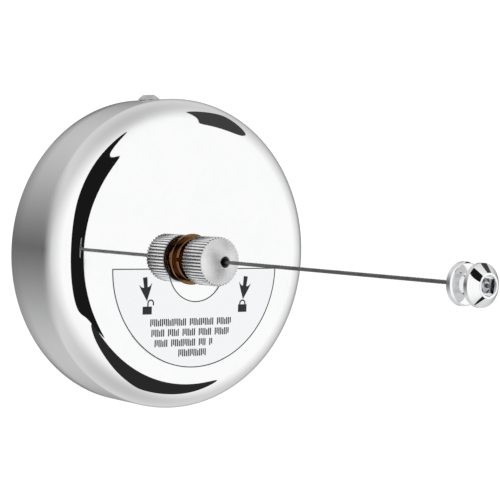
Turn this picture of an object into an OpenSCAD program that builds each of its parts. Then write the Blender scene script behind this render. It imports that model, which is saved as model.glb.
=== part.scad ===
// Retractable clothesline for a shower or laundry wall.
// Origin: centre of the wall plate's back face, on the wall.
// +Z is up, -Y points out of the wall, +Y into it.
// Most pieces turn about the wall's normal, so they are drawn in depth
// coordinates: x to the right, y up, z outwards from the wall.

/* [Body] */
// Outer diameter of the cover
body_d = 76; // [74:0.5:84]
// Depth from the wall to the flat face
body_depth = 21.5; // [21.5:0.1:24]
// Radius of the rounded front edge
edge_r = 7.2; // [5:0.1:7.6]
// Thickness of the cover's metal
cover_t = 0.8; // [0.6:0.1:1]

/* [Wall plate] */
// Thickness of the wall plate
plate_t = 1.6; // [1.4:0.1:1.8]
// Distance between the two wall screw holes
wall_hole_span = 36; // [30:1:44]
// Diameter of each wall screw hole
wall_hole_d = 4.4; // [4:0.1:5]
// Angle of the retaining screw, to the left of the top
screw_angle = 4.5; // [0:0.5:12]
// Depth of the retaining screw's axis
screw_depth = 5.2; // [4.6:0.1:5.8]
// Diameter of the retaining screw's head
screw_head_d = 5.3; // [4.5:0.1:5.5]

/* [Line] */
// Diameter of the line
line_d = 0.9; // [0.8:0.05:1]
// Length of line between the lock knob and the end knob
line_out = 77.7; // [40:0.1:200]
// Height of the line where it leaves the body
line_z = -1; // [-1.2:0.1:-0.8]

/* [Reel] */
// Radius of the drum under the winding
drum_r = 20; // [19.5:0.1:20.3]
// Radius of the drum's flanges
flange_r = 26.6; // [26:0.1:26.7]
// Outer radius of the winding
winding_r = 24.6; // [22:0.1:24.6]
// Number of turns of the power spring
spring_turns = 11; // [6:1:12]

/* [Lock knob] */
// Diameter over the knurls
knob_d = 11.8; // [11.4:0.1:12.4]
// Gap between the face and the knob
knob_gap = 3.9; // [3.7:0.1:4.4]
// Length of the knurled part
knob_len = 7.6; // [7.6:0.1:9]
// Height of the dome
dome_h = 2.3; // [2:0.1:2.8]
// Number of knurls
knurls = 44; // [24:2:60]
// Depth of the knurls
knurl_depth = 0.35; // [0.2:0.05:0.4]
// Diameter of the opening in the dome
dome_hole_d = 2.6; // [2.2:0.1:3]

/* [End knob] */
// Diameter of the flanges
end_d = 8.8; // [8:0.1:10]
// Diameter of the neck that clips into the far bracket
neck_d = 4.4; // [4:0.1:4.8]
// Length of the end knob
end_len = 7.6; // [7.4:0.1:10]

/* [Label] */
// Outer radius of the label
label_r = 24.4; // [20:0.1:26]
// Radius of the label's inner edge
label_hole_r = 8; // [7:0.1:9]
// Height of the label's straight edge
label_z = -3.1; // [-4:0.1:-2]
// Distance of the label's middle from the middle of the face
label_x = 1.5; // [0:0.1:1.6]

/* [Hidden] */
$fn = 96;

// Shared small values
cut = 0.5;              // how far a cutting shape runs past a face
slide_gap = 0.05;       // radial clearance of a running fit
body_r = body_d / 2;
cover_in_r = body_r - cover_t;
line_r = line_d / 2;

// Wall plate
plate_r = cover_in_r - 0.7;
sink_r = wall_hole_d / 2 + 0.8;
lug_w = 9;
lug_top = cover_in_r - 0.3;
lug_h = 3.4;
lug_reach = 8.6;

// Retaining screw
screw_r = 1.45;
screw_hole_r = screw_r + slide_gap;
screw_len = 4.2;
screw_head_h = 1.5;
socket_d = 1.8;

// Reel frame: back cover, drum room, partition, line room, front disc
back_z = 2.8;
back_t = 0.8;
frame_z = back_z + back_t;
part_z = 9.5;
part_t = 0.8;
front_z = 18.9;
front_t = 1.7;
frame_r = 31.2;
frame_wall = 1.2;
front_r = 30.5;
post_ring = 32.6;
post_r = 2.2;
post_end = 15;
post_angles = [30, 150, 270];
frame_screw_r = 0.9;
frame_screw_len = 6;

// Reel
drum_z = 3.9;
drum_t = 0.6;
drum_end = 9.1;
barrel_r = 18;
spindle_r = 3;
stub_r = 2;
bearing_r = 4.4;
arbor_r = 4.6;
arbor_z = 4.7;
arbor_end = 8.1;
strip_t = 0.2;
spring_z = 4.8;
spring_w = 3.3;
spring_in = 4.85;
spring_out = 17.5;
anchor_r = 0.7;
anchor_ring = 19;

// Guide roller, with its axle along X
roller_z = 14.6;
roller_line_r = 3;
roller_y = line_z + roller_line_r;
roller_r = 3.9;
roller_land = 1.3;
roller_w = 3.4;
axle_r = 1;
ear_gap = 2.1;
ear_t = 1.6;
ear_w = 6;

// Route of the line inside the frame, from the winding to the bush
eyelet_at = [0, 27.9, 9.9];
RUN = [
    [-11.5, 22.3, 6.5], [-9.6, 23.3, 6.5], [-7.7, 24.3, 6.5], [-5.8, 25.3, 6.5],
    [-3.8, 26.3, 6.5], [-2.4, 27, 6.7], [-1.2, 27.5, 7.2], [-0.4, 27.8, 8],
    [0, 27.9, 9], [0, 27.85, 9.8], [0, 27.5, 10.7], [0, 26.8, 11.35],
    [0, 25.9, 11.6], [0, 24, 11.6], [0, 22, 11.6], [0, 20, 11.6], [0, 18, 11.6],
    [0, 16, 11.6], [0, 14, 11.6], [0, 12, 11.6], [0, 10, 11.6], [0, 8, 11.6],
    [0, 6, 11.6], [0, 4, 11.6]
];
wrap_steps = 8;
WRAP = [
    for (i = [0 : wrap_steps])
        let (a = 90 * i / wrap_steps)
        [0, roller_y - roller_line_r * sin(a), roller_z - roller_line_r * cos(a)]
];
run_end = 18.2;

// Lock: bush, collet, clamp sleeve, knob
bush_flange_r = 6.5;
bush_flange_t = 1;
bush_r = 3.6;
bush_bore_r = 2.5;
bush_seat = 22;
bush_end = 30.6;
bush_line_r = 0.8;
washer_t = 0.3;
washer_r = 6.2;
nut_t = 1.5;
nut_r = 5.4;
collet_r = bush_bore_r - 0.06;
collet_end = 28.4;
collet_bore_r = line_r + 0.1;
collet_slot = 0.4;
sleeve_z = collet_end + 0.05;
sleeve_flange_z = 31.6;
sleeve_flange_t = 1;
sleeve_flange_r = 3.45;
knob_z = body_depth + knob_gap;
rim_z = knob_z + knob_len;
knob_r = knob_d / 2;
dome_base_r = knob_r - knurl_depth - 0.1;
dome_sphere_r = (dome_base_r * dome_base_r + dome_h * dome_h) / (2 * dome_h);
dome_z = rim_z + dome_h;
core_r = 5.2;
core_end = 31.4;
core_mouth_r = 4.7;
core_mouth_h = 1.2;
cavity_r = 3.6;
cavity_end = sleeve_flange_z + sleeve_flange_t + 0.1;
grommet_bore_r = 0.75;
grommet_set = 0.6;

// End knob
end_z = dome_z + line_out;
end_r = end_d / 2;
neck_r = neck_d / 2;
rear_band = 1.7;
flare_h = 0.8;
front_band = 1;
front_cone_h = 1.6;
front_face_r = 2.55;
neck_len = end_len - rear_band - flare_h - front_band - front_cone_h;
recess_r = 2.05;
recess_h = 2.6;
recess_z = end_z + end_len - recess_h;
crimp_r = 1.3;
crimp_len = 2;
line_tip = recess_z + crimp_len + 0.5;

// Label
label_t = 0.08;
ink_t = 0.04;
ink_line = 0.15;
arrow_x = 14.7;
arrow_z = -8;
arrow_lean = 7;
lock_x = 14.2;
lock_z = -12.9;
row_h = 1;
row_gap = 0.8;
// Each row of printed marks: height, left end, widths of its marks
ROWS = [
    [-16.2, -13.2, [10, 9.4, 5.2]],
    [-18.7, -12.8, [5, 4, 4.4, 4.8, 3.8]],
    [-21.2, -11.8, [4.4, 8.6, 2.6, 2.2]],
    [-23.7, -4.8, [8.6]]
];

// Turns depth coordinates into the part's frame
module out() {
    rotate([90, 0, 0]) children();
}

// The same, about the line's axis
module on_line() {
    out() translate([0, line_z, 0]) children();
}

// A disc or ring from depth z0 to depth z1
module ring(r_out, r_in, z0, z1) {
    translate([0, 0, z0])
        difference() {
            cylinder(r = r_out, h = z1 - z0);
            if (r_in > 0)
                translate([0, 0, -cut]) cylinder(r = r_in, h = z1 - z0 + 2 * cut);
        }
}

// A turned piece from points [radius, depth]
module turned(points) {
    rotate_extrude() polygon(points);
}

// Points of an arc, in degrees
function arc(centre, r, from, to, steps) = [
    for (i = [0 : steps])
        let (a = from + (to - from) * i / steps)
        centre + r * [cos(a), sin(a)]
];

// Tube along a route: one ring of sides at each point
function unit(v) = v / norm(v);
function tangent(p, i) =
    unit(p[min(i + 1, len(p) - 1)] - p[max(i - 1, 0)]);
function square_to(n, t) = unit(n - (n * t) * t);
function normals(p, i, n) =
    i >= len(p) ? [] :
    let (m = square_to(n, tangent(p, i))) concat([m], normals(p, i + 1, m));
function tube_points(p, r, sides, first) =
    let (ns = normals(p, 0, first))
    [
        for (i = [0 : len(p) - 1])
            let (t = tangent(p, i), n = ns[i], b = cross(t, n))
            for (k = [0 : sides - 1])
                let (a = 360 * k / sides)
                p[i] + r * (cos(a) * n + sin(a) * b)
    ];
function tube_faces(rings, sides) = concat(
    [[for (k = [0 : sides - 1]) k]],
    [
        for (i = [0 : rings - 2], k = [0 : sides - 1])
            let (a = i * sides + k, b = i * sides + (k + 1) % sides)
            [a, a + sides, b + sides, b]
    ],
    [[for (k = [sides - 1 : -1 : 0]) (rings - 1) * sides + k]]
);
module tube(path, r, first) {
    sides = 8;
    polyhedron(tube_points(path, r, sides, first), tube_faces(len(path), sides));
}

// Fixed plate on the wall, with the tapped lug that the cover is screwed to
module wall_plate() {
    color("gainsboro")
        out()
            difference() {
                union() {
                    cylinder(r = plate_r, h = plate_t);
                    rotate([0, 0, screw_angle])
                        translate([-lug_w / 2, lug_top - lug_h, 0])
                            cube([lug_w, lug_h, lug_reach]);
                }
                for (side = [-1, 1])
                    translate([side * wall_hole_span / 2, 0, 0]) {
                        translate([0, 0, -cut])
                            cylinder(d = wall_hole_d, h = plate_t + 2 * cut);
                        translate([0, 0, plate_t - 0.8])
                            cylinder(r1 = wall_hole_d / 2, r2 = sink_r, h = 0.8);
                    }
                rotate([0, 0, screw_angle])
                    translate([0, lug_top - lug_h - cut, screw_depth])
                        rotate([-90, 0, 0])
                            cylinder(r = screw_hole_r, h = lug_h + 2 * cut);
            }
}

// Drawn shell: side wall, rounded edge and flat face
module housing_cover() {
    inner_r = edge_r - cover_t;
    outer_arc = arc([body_r - edge_r, body_depth - edge_r], edge_r, 0, 90, 16);
    inner_arc = arc([body_r - edge_r, body_depth - edge_r], inner_r, 90, 0, 16);
    profile = concat(
        [[cover_in_r, 0], [body_r, 0]],
        outer_arc,
        [[0, body_depth], [0, body_depth - cover_t]],
        inner_arc
    );
    color("silver")
        out()
            difference() {
                turned(profile);
                translate([0, line_z, body_depth - cover_t - cut])
                    cylinder(r = bush_r + 0.1, h = cover_t + 2 * cut);
                rotate([0, 0, screw_angle])
                    translate([0, cover_in_r - 1, screw_depth])
                        rotate([-90, 0, 0])
                            cylinder(r = screw_r + 0.15, h = 4);
            }
}

// Domed socket screw through the cover into the lug
module retaining_screw() {
    dome_r = (screw_head_d * screw_head_d / 4 + screw_head_h * screw_head_h)
        / (2 * screw_head_h);
    color("silver")
        out()
            rotate([0, 0, screw_angle])
                translate([0, body_r, screw_depth])
                    rotate([-90, 0, 0])
                        difference() {
                            union() {
                                intersection() {
                                    translate([0, 0, screw_head_h - dome_r])
                                        sphere(r = dome_r);
                                    cylinder(d = screw_head_d, h = screw_head_h);
                                }
                                translate([0, 0, -screw_len])
                                    cylinder(r = screw_r, h = screw_len + cut);
                            }
                            translate([0, 0, 0.6])
                                cylinder(d = socket_d, h = screw_head_h, $fn = 6);
                        }
}

// Moulded chassis: side wall, partition, front disc, screw posts, roller ears
module reel_frame() {
    color("dimgray")
        out()
            difference() {
                union() {
                    ring(frame_r, frame_r - frame_wall, frame_z, front_z + 0.4);
                    ring(frame_r - frame_wall / 2, 0, part_z, part_z + part_t);
                    ring(front_r, 0, front_z, front_z + front_t);
                    for (a = post_angles)
                        rotate([0, 0, a])
                            translate([post_ring, 0, frame_z + 0.1])
                                cylinder(r = post_r, h = post_end - frame_z - 0.1);
                    for (side = [-1, 1])
                        translate([side * (ear_gap + ear_t / 2), roller_y, 0])
                            translate([-ear_t / 2, -ear_w / 2, part_z + 0.2])
                                cube([ear_t, ear_w, front_z - part_z]);
                }
                for (a = post_angles)
                    rotate([0, 0, a])
                        translate([post_ring, 0, frame_z - cut])
                            cylinder(r = frame_screw_r, h = frame_screw_len + cut);
                translate([0, 0, part_z - cut])
                    cylinder(r = stub_r, h = part_t + 2 * cut);
                translate([eyelet_at[0], eyelet_at[1], part_z - cut])
                    cylinder(r = 1.6, h = part_t + 2 * cut);
                translate([-8, roller_y, roller_z])
                    rotate([0, 90, 0])
                        cylinder(r = axle_r, h = 16);
                translate([0, line_z, front_z - cut])
                    cylinder(r = bush_flange_r, h = bush_flange_t + cut);
                translate([0, line_z, front_z + 0.3])
                    cylinder(r = bush_r, h = front_t + cut);
            }
}

// Sheet cover that closes the drum room
module reel_back_cover() {
    color("gray")
        out()
            translate([0, 0, back_z])
                linear_extrude(height = back_t)
                    difference() {
                        union() {
                            circle(r = frame_r);
                            for (a = post_angles)
                                rotate(a) translate([post_ring, 0]) circle(r = post_r);
                        }
                        circle(r = stub_r);
                        for (a = post_angles)
                            rotate(a) translate([post_ring, 0]) circle(r = frame_screw_r + 0.1);
                    }
}

// Three small screws that hold the back cover on
module frame_screws() {
    head_r = 1.8;
    head_h = 0.9;
    color("lightgray")
        out()
            for (a = post_angles)
                rotate([0, 0, a])
                    translate([post_ring, 0, 0])
                        difference() {
                            union() {
                                ring(head_r, 0, back_z - head_h, back_z);
                                ring(frame_screw_r, 0, back_z - 0.1,
                                     frame_z + frame_screw_len - 1);
                            }
                            for (turn = [0, 90])
                                translate([0, 0, back_z - head_h])
                                    rotate([0, 0, turn])
                                        cube([2.2, 0.4, 0.8], center = true);
                        }
}

// Fixed steel pin that the drum turns on
module spindle() {
    color("lightsteelblue")
        out()
            difference() {
                turned([
                    [0, 1.9], [stub_r, 1.9], [stub_r, frame_z],
                    [spindle_r, frame_z], [spindle_r, part_z],
                    [stub_r, part_z], [stub_r, part_z + part_t], [0, part_z + part_t]
                ]);
                ring(stub_r + cut, 1.6, 2.15, 2.65);
            }
}

// Open ring clip in the spindle's groove
module spindle_clip() {
    color("darkgray")
        out()
            difference() {
                ring(3.3, 1.6, 2.2, 2.6);
                translate([-1.1, -4, 2])
                    cube([2.2, 4, 1]);
            }
}

// Hub keyed to the spindle, slotted for the spring's inner end
module spring_arbor() {
    color("tan")
        out()
            difference() {
                ring(arbor_r, spindle_r, arbor_z, arbor_end);
                translate([spindle_r + 0.4, -0.3, arbor_z - cut])
                    cube([2, 0.6, arbor_end - arbor_z + 2 * cut]);
            }
}

// Flat spiral spring with a tongue at each end
module power_spring() {
    steps = spring_turns * 20;
    pitch = (spring_out - spring_in) / spring_turns;
    inner = [
        for (i = [0 : steps])
            let (a = 360 * spring_turns * i / steps, r = spring_in + pitch * a / 360)
            r * [cos(a), sin(a)]
    ];
    outer = [
        for (i = [steps : -1 : 0])
            let (a = 360 * spring_turns * i / steps, r = spring_in + pitch * a / 360)
            (r + strip_t) * [cos(a), sin(a)]
    ];
    color("steelblue")
        out()
            translate([0, 0, spring_z])
                linear_extrude(height = spring_w)
                    union() {
                        polygon(concat(inner, outer));
                        translate([spindle_r + 0.6, 0])
                            square([spring_in - spindle_r - 0.5, strip_t]);
                        translate([spring_out, 0])
                            square([barrel_r - spring_out + 0.9, strip_t]);
                    }
}

// Flanged drum: spring barrel inside, winding outside, web at the front
module reel_drum() {
    color("ivory")
        out()
            difference() {
                turned([
                    [bearing_r, drum_end - drum_t], [barrel_r, drum_end - drum_t],
                    [barrel_r, drum_z], [flange_r, drum_z],
                    [flange_r, drum_z + drum_t], [drum_r, drum_z + drum_t],
                    [drum_r, drum_end - drum_t], [flange_r, drum_end - drum_t],
                    [flange_r, drum_end], [bearing_r, drum_end]
                ]);
                translate([0, anchor_ring, drum_z + drum_t])
                    cylinder(r = anchor_r + 0.05, h = 4);
                translate([-line_r - 0.1, anchor_ring, drum_z + drum_t])
                    cube([line_d + 0.2, 2, 4]);
                translate([barrel_r - cut, -0.3, spring_z - 0.2])
                    cube([cut + 1.2, 0.8, spring_w + 0.3]);
            }
}

// Brass ring pressed into the drum's web
module drum_bearing() {
    color("goldenrod")
        out() ring(bearing_r, spindle_r + slide_gap, drum_end - 0.8, drum_end + 0.2);
}

// Thin disc that keeps the spring in its barrel
module spring_lid() {
    color("lightgray")
        out() ring(barrel_r, spindle_r + slide_gap, drum_z, drum_z + 0.5);
}

// Outer shape of the wound length of line
module line_winding() {
    color("slategray")
        out() ring(winding_r, drum_r, drum_z + drum_t + 0.05, drum_end - drum_t - 0.05);
}

// Ferrule on the line's inner end, held in the drum
module line_anchor() {
    color("goldenrod")
        out()
            translate([0, anchor_ring, drum_z + drum_t + 0.2])
                cylinder(r = anchor_r, h = 3.4);
}

// Hard ring that the line runs through
module line_eyelet() {
    bead = arc([1.5, 0], 0.55, 90, 270, 12);
    color("white")
        out()
            translate([eyelet_at[0], eyelet_at[1], part_z + part_t / 2])
                rotate_extrude()
                    polygon(concat([[1.6, 0.55]], bead, [[1.6, -0.55]]));
}

// Line from the winding, through the eyelet and under the roller
module line_run() {
    color("slategray")
        out()
            tube(concat(RUN, WRAP, [[0, line_z, 16.4], [0, line_z, run_end]]),
                 line_r, [0, 0, 1]);
}

// Grooved wheel that turns the line outwards
module guide_roller() {
    half = roller_w / 2;
    groove = arc([roller_line_r, 0], line_r + 0.05, 120, 240, 8);
    lip = roller_line_r + 0.3;
    color("whitesmoke")
        out()
            translate([0, roller_y, roller_z])
                rotate([0, 90, 0])
                    turned(concat(
                        [[axle_r + slide_gap, half], [roller_r, half], [roller_r, roller_land]],
                        [[lip, line_r + 0.1]],
                        groove,
                        [[lip, -line_r - 0.1]],
                        [[roller_r, -roller_land], [roller_r, -half], [axle_r + slide_gap, -half]]
                    ));
}

// Pin through both ears
module roller_axle() {
    length = 2 * (ear_gap + ear_t) + 0.6;
    color("lightsteelblue")
        out()
            translate([-length / 2, roller_y, roller_z])
                rotate([0, 90, 0])
                    cylinder(r = axle_r, h = length);
}

// Threaded brass bush: flange inside the frame, tube out through the face
module lock_bush() {
    color("darkgoldenrod")
        on_line()
            turned([
                [bush_line_r, front_z], [bush_flange_r, front_z],
                [bush_flange_r, front_z + bush_flange_t], [bush_r, front_z + bush_flange_t],
                [bush_r, bush_end - 0.3], [bush_r - 0.3, bush_end],
                [bush_bore_r, bush_end], [bush_bore_r, bush_seat], [bush_line_r, bush_seat]
            ]);
}

// Thin washer that protects the face
module bush_washer() {
    color("goldenrod")
        on_line() ring(washer_r, bush_r + 0.02, body_depth, body_depth + washer_t);
}

// Ring nut that clamps the cover to the frame
module bush_nut() {
    z0 = body_depth + washer_t;
    color("goldenrod")
        on_line()
            difference() {
                turned([
                    [bush_r + 0.02, z0], [nut_r, z0], [nut_r, z0 + nut_t - 0.4],
                    [nut_r - 0.4, z0 + nut_t], [bush_r + 0.02, z0 + nut_t]
                ]);
                for (turn = [0, 90])
                    translate([0, 0, z0 + nut_t])
                        rotate([0, 0, turn])
                            cube([3 * nut_r, 1, 1], center = true);
            }
}

// Slotted gripper around the line
module collet() {
    color("peru")
        on_line()
            difference() {
                turned([
                    [collet_bore_r, bush_seat], [collet_r, bush_seat],
                    [collet_r, collet_end - 0.8], [collet_r - 0.6, collet_end],
                    [collet_bore_r, collet_end]
                ]);
                for (turn = [0, 60, 120])
                    rotate([0, 0, turn])
                        translate([0, 0, collet_end])
                            cube([3 * collet_r, collet_slot, 7], center = true);
            }
}

// Sleeve that the knob pushes onto the collet
module clamp_sleeve() {
    color("khaki")
        on_line()
            turned([
                [collet_bore_r + 0.3, sleeve_z], [collet_r, sleeve_z],
                [collet_r, sleeve_flange_z], [sleeve_flange_r, sleeve_flange_z],
                [sleeve_flange_r, sleeve_flange_z + sleeve_flange_t],
                [collet_bore_r + 0.3, sleeve_flange_z + sleeve_flange_t]
            ]);
}

// Knurled thumb knob with a domed front
module knob_shell() {
    step = 360 / knurls;
    outline = [
        for (i = [0 : knurls - 1], half = [0, 1])
            (knob_r - half * knurl_depth)
                * [cos((i + half / 2) * step), sin((i + half / 2) * step)]
    ];
    color("silver")
        on_line()
            difference() {
                union() {
                    translate([0, 0, knob_z])
                        linear_extrude(height = knob_len) polygon(outline);
                    intersection() {
                        translate([0, 0, dome_z - dome_sphere_r])
                            sphere(r = dome_sphere_r);
                        translate([0, 0, rim_z - 0.2])
                            cylinder(r = dome_base_r, h = dome_h + 0.4);
                    }
                }
                translate([0, 0, knob_z - cut])
                    cylinder(r = core_r, h = core_end - knob_z + cut);
                translate([0, 0, core_end - 0.1])
                    cylinder(r = cavity_r, h = cavity_end - core_end + 0.1);
                translate([0, 0, cavity_end - 0.1])
                    cylinder(d = dome_hole_d, h = dome_z - cavity_end + 1);
            }
}

// Brass core that carries the knob's thread
module knob_core() {
    color("darkgoldenrod")
        on_line()
            turned([
                [core_mouth_r, knob_z], [core_r, knob_z], [core_r, core_end],
                [bush_r + slide_gap, core_end], [bush_r + slide_gap, knob_z + core_mouth_h]
            ]);
}

// Black guide ring in the dome's opening
module line_grommet() {
    color("black")
        on_line() ring(dome_hole_d / 2, grommet_bore_r, cavity_end, dome_z - grommet_set);
}

// Line from the bush to the end knob, held straight
module line_outer() {
    rings = 40;
    path = [
        for (i = [0 : rings])
            [0, line_z, run_end + (line_tip - run_end) * i / rings]
    ];
    color("slategray")
        out() tube(path, line_r, [0, 1, 0]);
}

// Crimped bead that stops the end knob sliding off
module line_crimp() {
    z0 = recess_z + 0.1;
    color("silver")
        on_line()
            turned([
                [line_r + 0.02, z0], [crimp_r, z0], [crimp_r, z0 + crimp_len - 0.5],
                [crimp_r - 0.5, z0 + crimp_len], [line_r + 0.02, z0 + crimp_len]
            ]);
}

// Turned spool that clips into the bracket on the far wall
module end_knob() {
    z1 = end_z + rear_band;
    z2 = z1 + neck_len;
    z3 = z2 + flare_h;
    z4 = z3 + front_band;
    z5 = end_z + end_len;
    bevel = 0.3;
    color("silver")
        on_line()
            turned([
                [line_r + 0.15, end_z], [end_r - bevel, end_z], [end_r, end_z + bevel],
                [end_r, z1 - bevel], [end_r - bevel, z1], [neck_r, z1], [neck_r, z2],
                [end_r, z3], [end_r, z4], [front_face_r, z5],
                [recess_r, z5], [recess_r, recess_z], [line_r + 0.15, recess_z]
            ]);
}

// Half ring below a horizontal edge, with a margin taken off all round
module half_ring(margin) {
    difference() {
        circle(r = label_r - margin);
        circle(r = label_hole_r + margin);
        translate([-label_r - 1, -margin])
            square([2 * label_r + 2, label_r + 2]);
    }
}

// Thin foil label on the face
module instruction_label() {
    color("whitesmoke")
        out()
            translate([label_x, label_z, body_depth])
                linear_extrude(height = label_t) half_ring(0);
}

// Arrow that points down
module arrow_mark() {
    polygon([
        [0, -2.7], [1.55, 0.6], [0.5, -0.2], [0.45, 2.7],
        [-0.45, 2.7], [-0.5, -0.2], [-1.55, 0.6]
    ]);
}

// Padlock, with its bow lifted when open
module padlock_mark(open) {
    translate([-1.3, -1.2]) square([2.6, 1.9]);
    translate([open ? 0.9 : 0, open ? 1.1 : 0.7])
        difference() {
            circle(r = 0.95);
            circle(r = 0.6);
            translate([-1, open ? -1.4 : -1]) square([2, 1]);
        }
    if (open) translate([-0.05, 0.7]) square([0.35, 0.5]);
}

// One row of plain marks, from its left end
module mark_row(left, widths, i = 0) {
    if (i < len(widths)) {
        translate([left, -row_h / 2]) square([widths[i], row_h]);
        mark_row(left + widths[i] + row_gap, widths, i + 1);
    }
}

// Printed marks: outline, arrows, padlocks and four rows
module label_print() {
    color("black")
        out()
            translate([label_x, 0, body_depth + label_t])
                linear_extrude(height = ink_t) {
                    translate([0, label_z])
                        difference() {
                            half_ring(0.1);
                            half_ring(0.1 + ink_line);
                        }
                    for (side = [-1, 1]) {
                        translate([side * arrow_x, arrow_z])
                            rotate(-side * arrow_lean) arrow_mark();
                        translate([side * lock_x, lock_z])
                            padlock_mark(side < 0);
                    }
                    for (row = ROWS)
                        translate([0, row[0]]) mark_row(row[1], row[2]);
                }
}

wall_plate();
housing_cover();
retaining_screw();
reel_frame();
reel_back_cover();
frame_screws();
spindle();
spindle_clip();
spring_arbor();
power_spring();
reel_drum();
drum_bearing();
spring_lid();
line_winding();
line_anchor();
line_eyelet();
line_run();
guide_roller();
roller_axle();
lock_bush();
bush_washer();
bush_nut();
collet();
clamp_sleeve();
knob_shell();
knob_core();
line_grommet();
line_outer();
line_crimp();
end_knob();
instruction_label();
label_print();
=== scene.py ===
"""Looks of a retractable clothesline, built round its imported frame.

Sizes are in millimetres unless a name says otherwise. Most pieces turn about the wall's normal,
so they are drawn with x to the right, y up and z outwards from the wall, and OUTWARDS turns them
into the frame's own metres. Pieces that only the mechanism shows keep the frame's meshes.
"""

from __future__ import annotations

import logging
import math
from dataclasses import dataclass, field
from enum import Enum
from typing import Callable, Sequence

import bmesh
import bpy
from mathutils import Matrix, Vector
from mathutils.geometry import tessellate_polygon

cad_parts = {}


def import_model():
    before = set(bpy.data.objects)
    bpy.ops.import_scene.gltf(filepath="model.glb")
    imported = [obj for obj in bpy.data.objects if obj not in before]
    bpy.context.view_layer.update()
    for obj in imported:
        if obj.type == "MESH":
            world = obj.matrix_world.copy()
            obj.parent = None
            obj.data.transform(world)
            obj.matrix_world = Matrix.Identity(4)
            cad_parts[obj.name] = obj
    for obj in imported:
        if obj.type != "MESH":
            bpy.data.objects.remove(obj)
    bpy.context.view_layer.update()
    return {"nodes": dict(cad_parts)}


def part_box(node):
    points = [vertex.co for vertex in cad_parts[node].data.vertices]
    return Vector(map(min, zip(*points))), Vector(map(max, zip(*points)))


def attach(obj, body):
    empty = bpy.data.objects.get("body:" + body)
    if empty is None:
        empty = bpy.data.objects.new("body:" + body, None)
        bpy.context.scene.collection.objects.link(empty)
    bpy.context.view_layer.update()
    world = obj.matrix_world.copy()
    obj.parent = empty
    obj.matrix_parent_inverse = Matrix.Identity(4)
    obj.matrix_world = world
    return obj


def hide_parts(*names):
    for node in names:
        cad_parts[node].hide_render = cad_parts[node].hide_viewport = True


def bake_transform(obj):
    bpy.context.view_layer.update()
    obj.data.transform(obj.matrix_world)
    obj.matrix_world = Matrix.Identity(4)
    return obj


LOG = logging.getLogger("clothesline")
MM = 0.001
OUTWARDS = Matrix.Diagonal((MM, MM, MM, 1)) @ Matrix.Rotation(math.radians(90), 4, "X")
SHARP_ANGLE = math.radians(32)
DISPLAY_GAMMA = 2.2
STEEP = 0.9
COAT_ROUGHNESS = 0.08
PATCH_SIZE = 9

Point2 = tuple[float, float]
Colour = tuple[float, float, float]
Pattern = Callable[[float, float], float]


# ---------------------------------------------------------------- shapes


@dataclass(frozen=True)
class Span:
    """Where a turned node lies: radius, height of its axis, and depths from the wall."""

    radius: float
    height: float
    near: float
    far: float

    @classmethod
    def of(cls, node: str) -> Span:
        """Reads a node's box.

        Args:
            node: name of the node in the frame.

        Returns:
            Its span, in millimetres.
        """
        low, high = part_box(node)
        return cls(
            (high.x - low.x) / 2 / MM, (low.z + high.z) / 2 / MM, -high.y / MM, -low.y / MM
        )


@dataclass(frozen=True)
class Corner:
    """A corner of a turned outline: radius, depth, and how far it is rounded."""

    radius: float
    depth: float
    rounding: float = 0.0


@dataclass(frozen=True)
class Ring:
    """One ring of a lofted piece, with how deep a pattern cuts into it."""

    radius: float
    depth: float
    relief: float = 0.0
    rise: float = 0.0


def rounded(corners: Sequence[Corner], steps: int = 6) -> list[Point2]:
    """Rounds the corners of a closed outline with arcs.

    Args:
        corners: the outline's corners in order.
        steps: number of pieces in each arc.

    Returns:
        Points as (radius, depth).
    """
    points: list[Point2] = []
    count = len(corners)
    for i, corner in enumerate(corners):
        here = Vector((corner.radius, corner.depth))
        if corner.rounding <= 0:
            points.append(tuple(here))
            continue
        before = corners[i - 1]
        after = corners[(i + 1) % count]
        back = Vector((before.radius, before.depth)) - here
        ahead = Vector((after.radius, after.depth)) - here
        half = back.angle(ahead) / 2
        reach = min(corner.rounding / math.tan(half), 0.49 * back.length, 0.49 * ahead.length)
        radius = reach * math.tan(half)
        centre = here + (back.normalized() + ahead.normalized()).normalized() * radius / math.sin(half)
        first = here + back.normalized() * reach - centre
        last = here + ahead.normalized() * reach - centre
        turn = first.angle_signed(last)
        for k in range(steps + 1):
            arm = first.copy()
            arm.rotate(Matrix.Rotation(-turn * k / steps, 2))
            points.append(tuple(centre + arm))
    return points


def plain_pattern(_angle: float, _depth: float) -> float:
    """A pattern that cuts nothing."""
    return 0.0


def hexagon_pattern(angle: float, _depth: float) -> float:
    """How far a hexagon lies inside the circle through its corners, as a share of the radius."""
    sixth = math.radians(60)
    return 1 - math.cos(sixth / 2) / math.cos(angle % sixth - sixth / 2)


def make_object(name: str, mesh: bmesh.types.BMesh, place: Matrix) -> bpy.types.Object:
    """Turns a finished edit mesh into an object with smooth faces and crisp edges.

    Args:
        name: the piece's name.
        mesh: the edit mesh, which is freed.
        place: from the piece's own millimetres to the frame.

    Returns:
        The new object, linked to the scene.
    """
    bmesh.ops.transform(mesh, matrix=place, verts=mesh.verts)
    bmesh.ops.recalc_face_normals(mesh, faces=mesh.faces)
    data = bpy.data.meshes.new(name)
    mesh.to_mesh(data)
    mesh.free()
    data.shade_smooth()
    data.set_sharp_from_angle(angle=SHARP_ANGLE)
    piece = bpy.data.objects.new(name, data)
    bpy.context.scene.collection.objects.link(piece)
    return piece


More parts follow.
